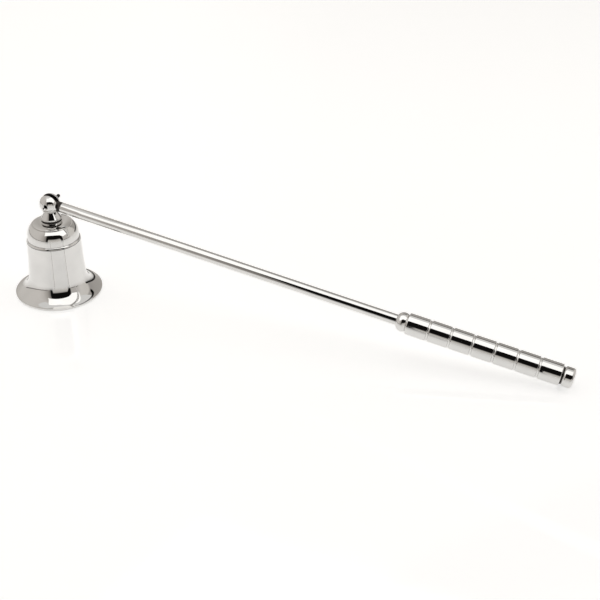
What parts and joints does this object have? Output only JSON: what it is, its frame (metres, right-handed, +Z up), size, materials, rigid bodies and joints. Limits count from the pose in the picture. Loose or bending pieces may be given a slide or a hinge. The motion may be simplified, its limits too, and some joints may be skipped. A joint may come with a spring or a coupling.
{
  "type": "candle snuffer",
  "caption": "Small flared metal bell that swings on a slotted ball clevis at the end of a straight handle with a grooved grip and rounded end knob, for putting out candle flames.",
  "frame": {"origin": "centre of the bell's mouth, in the plane of the rim that the bell stands on", "axes": "+Z up along the bell's axis to the finial, +X horizontally out over the handle towards its end knob, +Y along the pivot pin towards the end that stands out of the ball"},
  "size_m": [0.2736, 0.042, 0.052],
  "materials": {
    "polished_nickel_plate": "mirror polished nickel plate, slightly warm",
    "bright_steel": "bright turned steel",
    "dark_steel": "drawn steel wire, darkened"
  },
  "bodies": {
    "bell_body": {"bell": "polished_nickel_plate", "clevis_finial": "polished_nickel_plate", "crown_washer": "bright_steel", "crown_nut": "bright_steel", "pivot_pin": "dark_steel"},
    "handle_body": {"rod": "polished_nickel_plate", "collar": "polished_nickel_plate", "grip": "polished_nickel_plate", "end_knob": "polished_nickel_plate"}
  },
  "joints": [
    {"name": "bell_pivot", "type": "hinge", "parent": "bell_body", "child": "handle_body", "pos_m": [0, 0, 0.04728], "axis": [0, 1, 0], "range_deg": [-203, 4]}
  ]
}
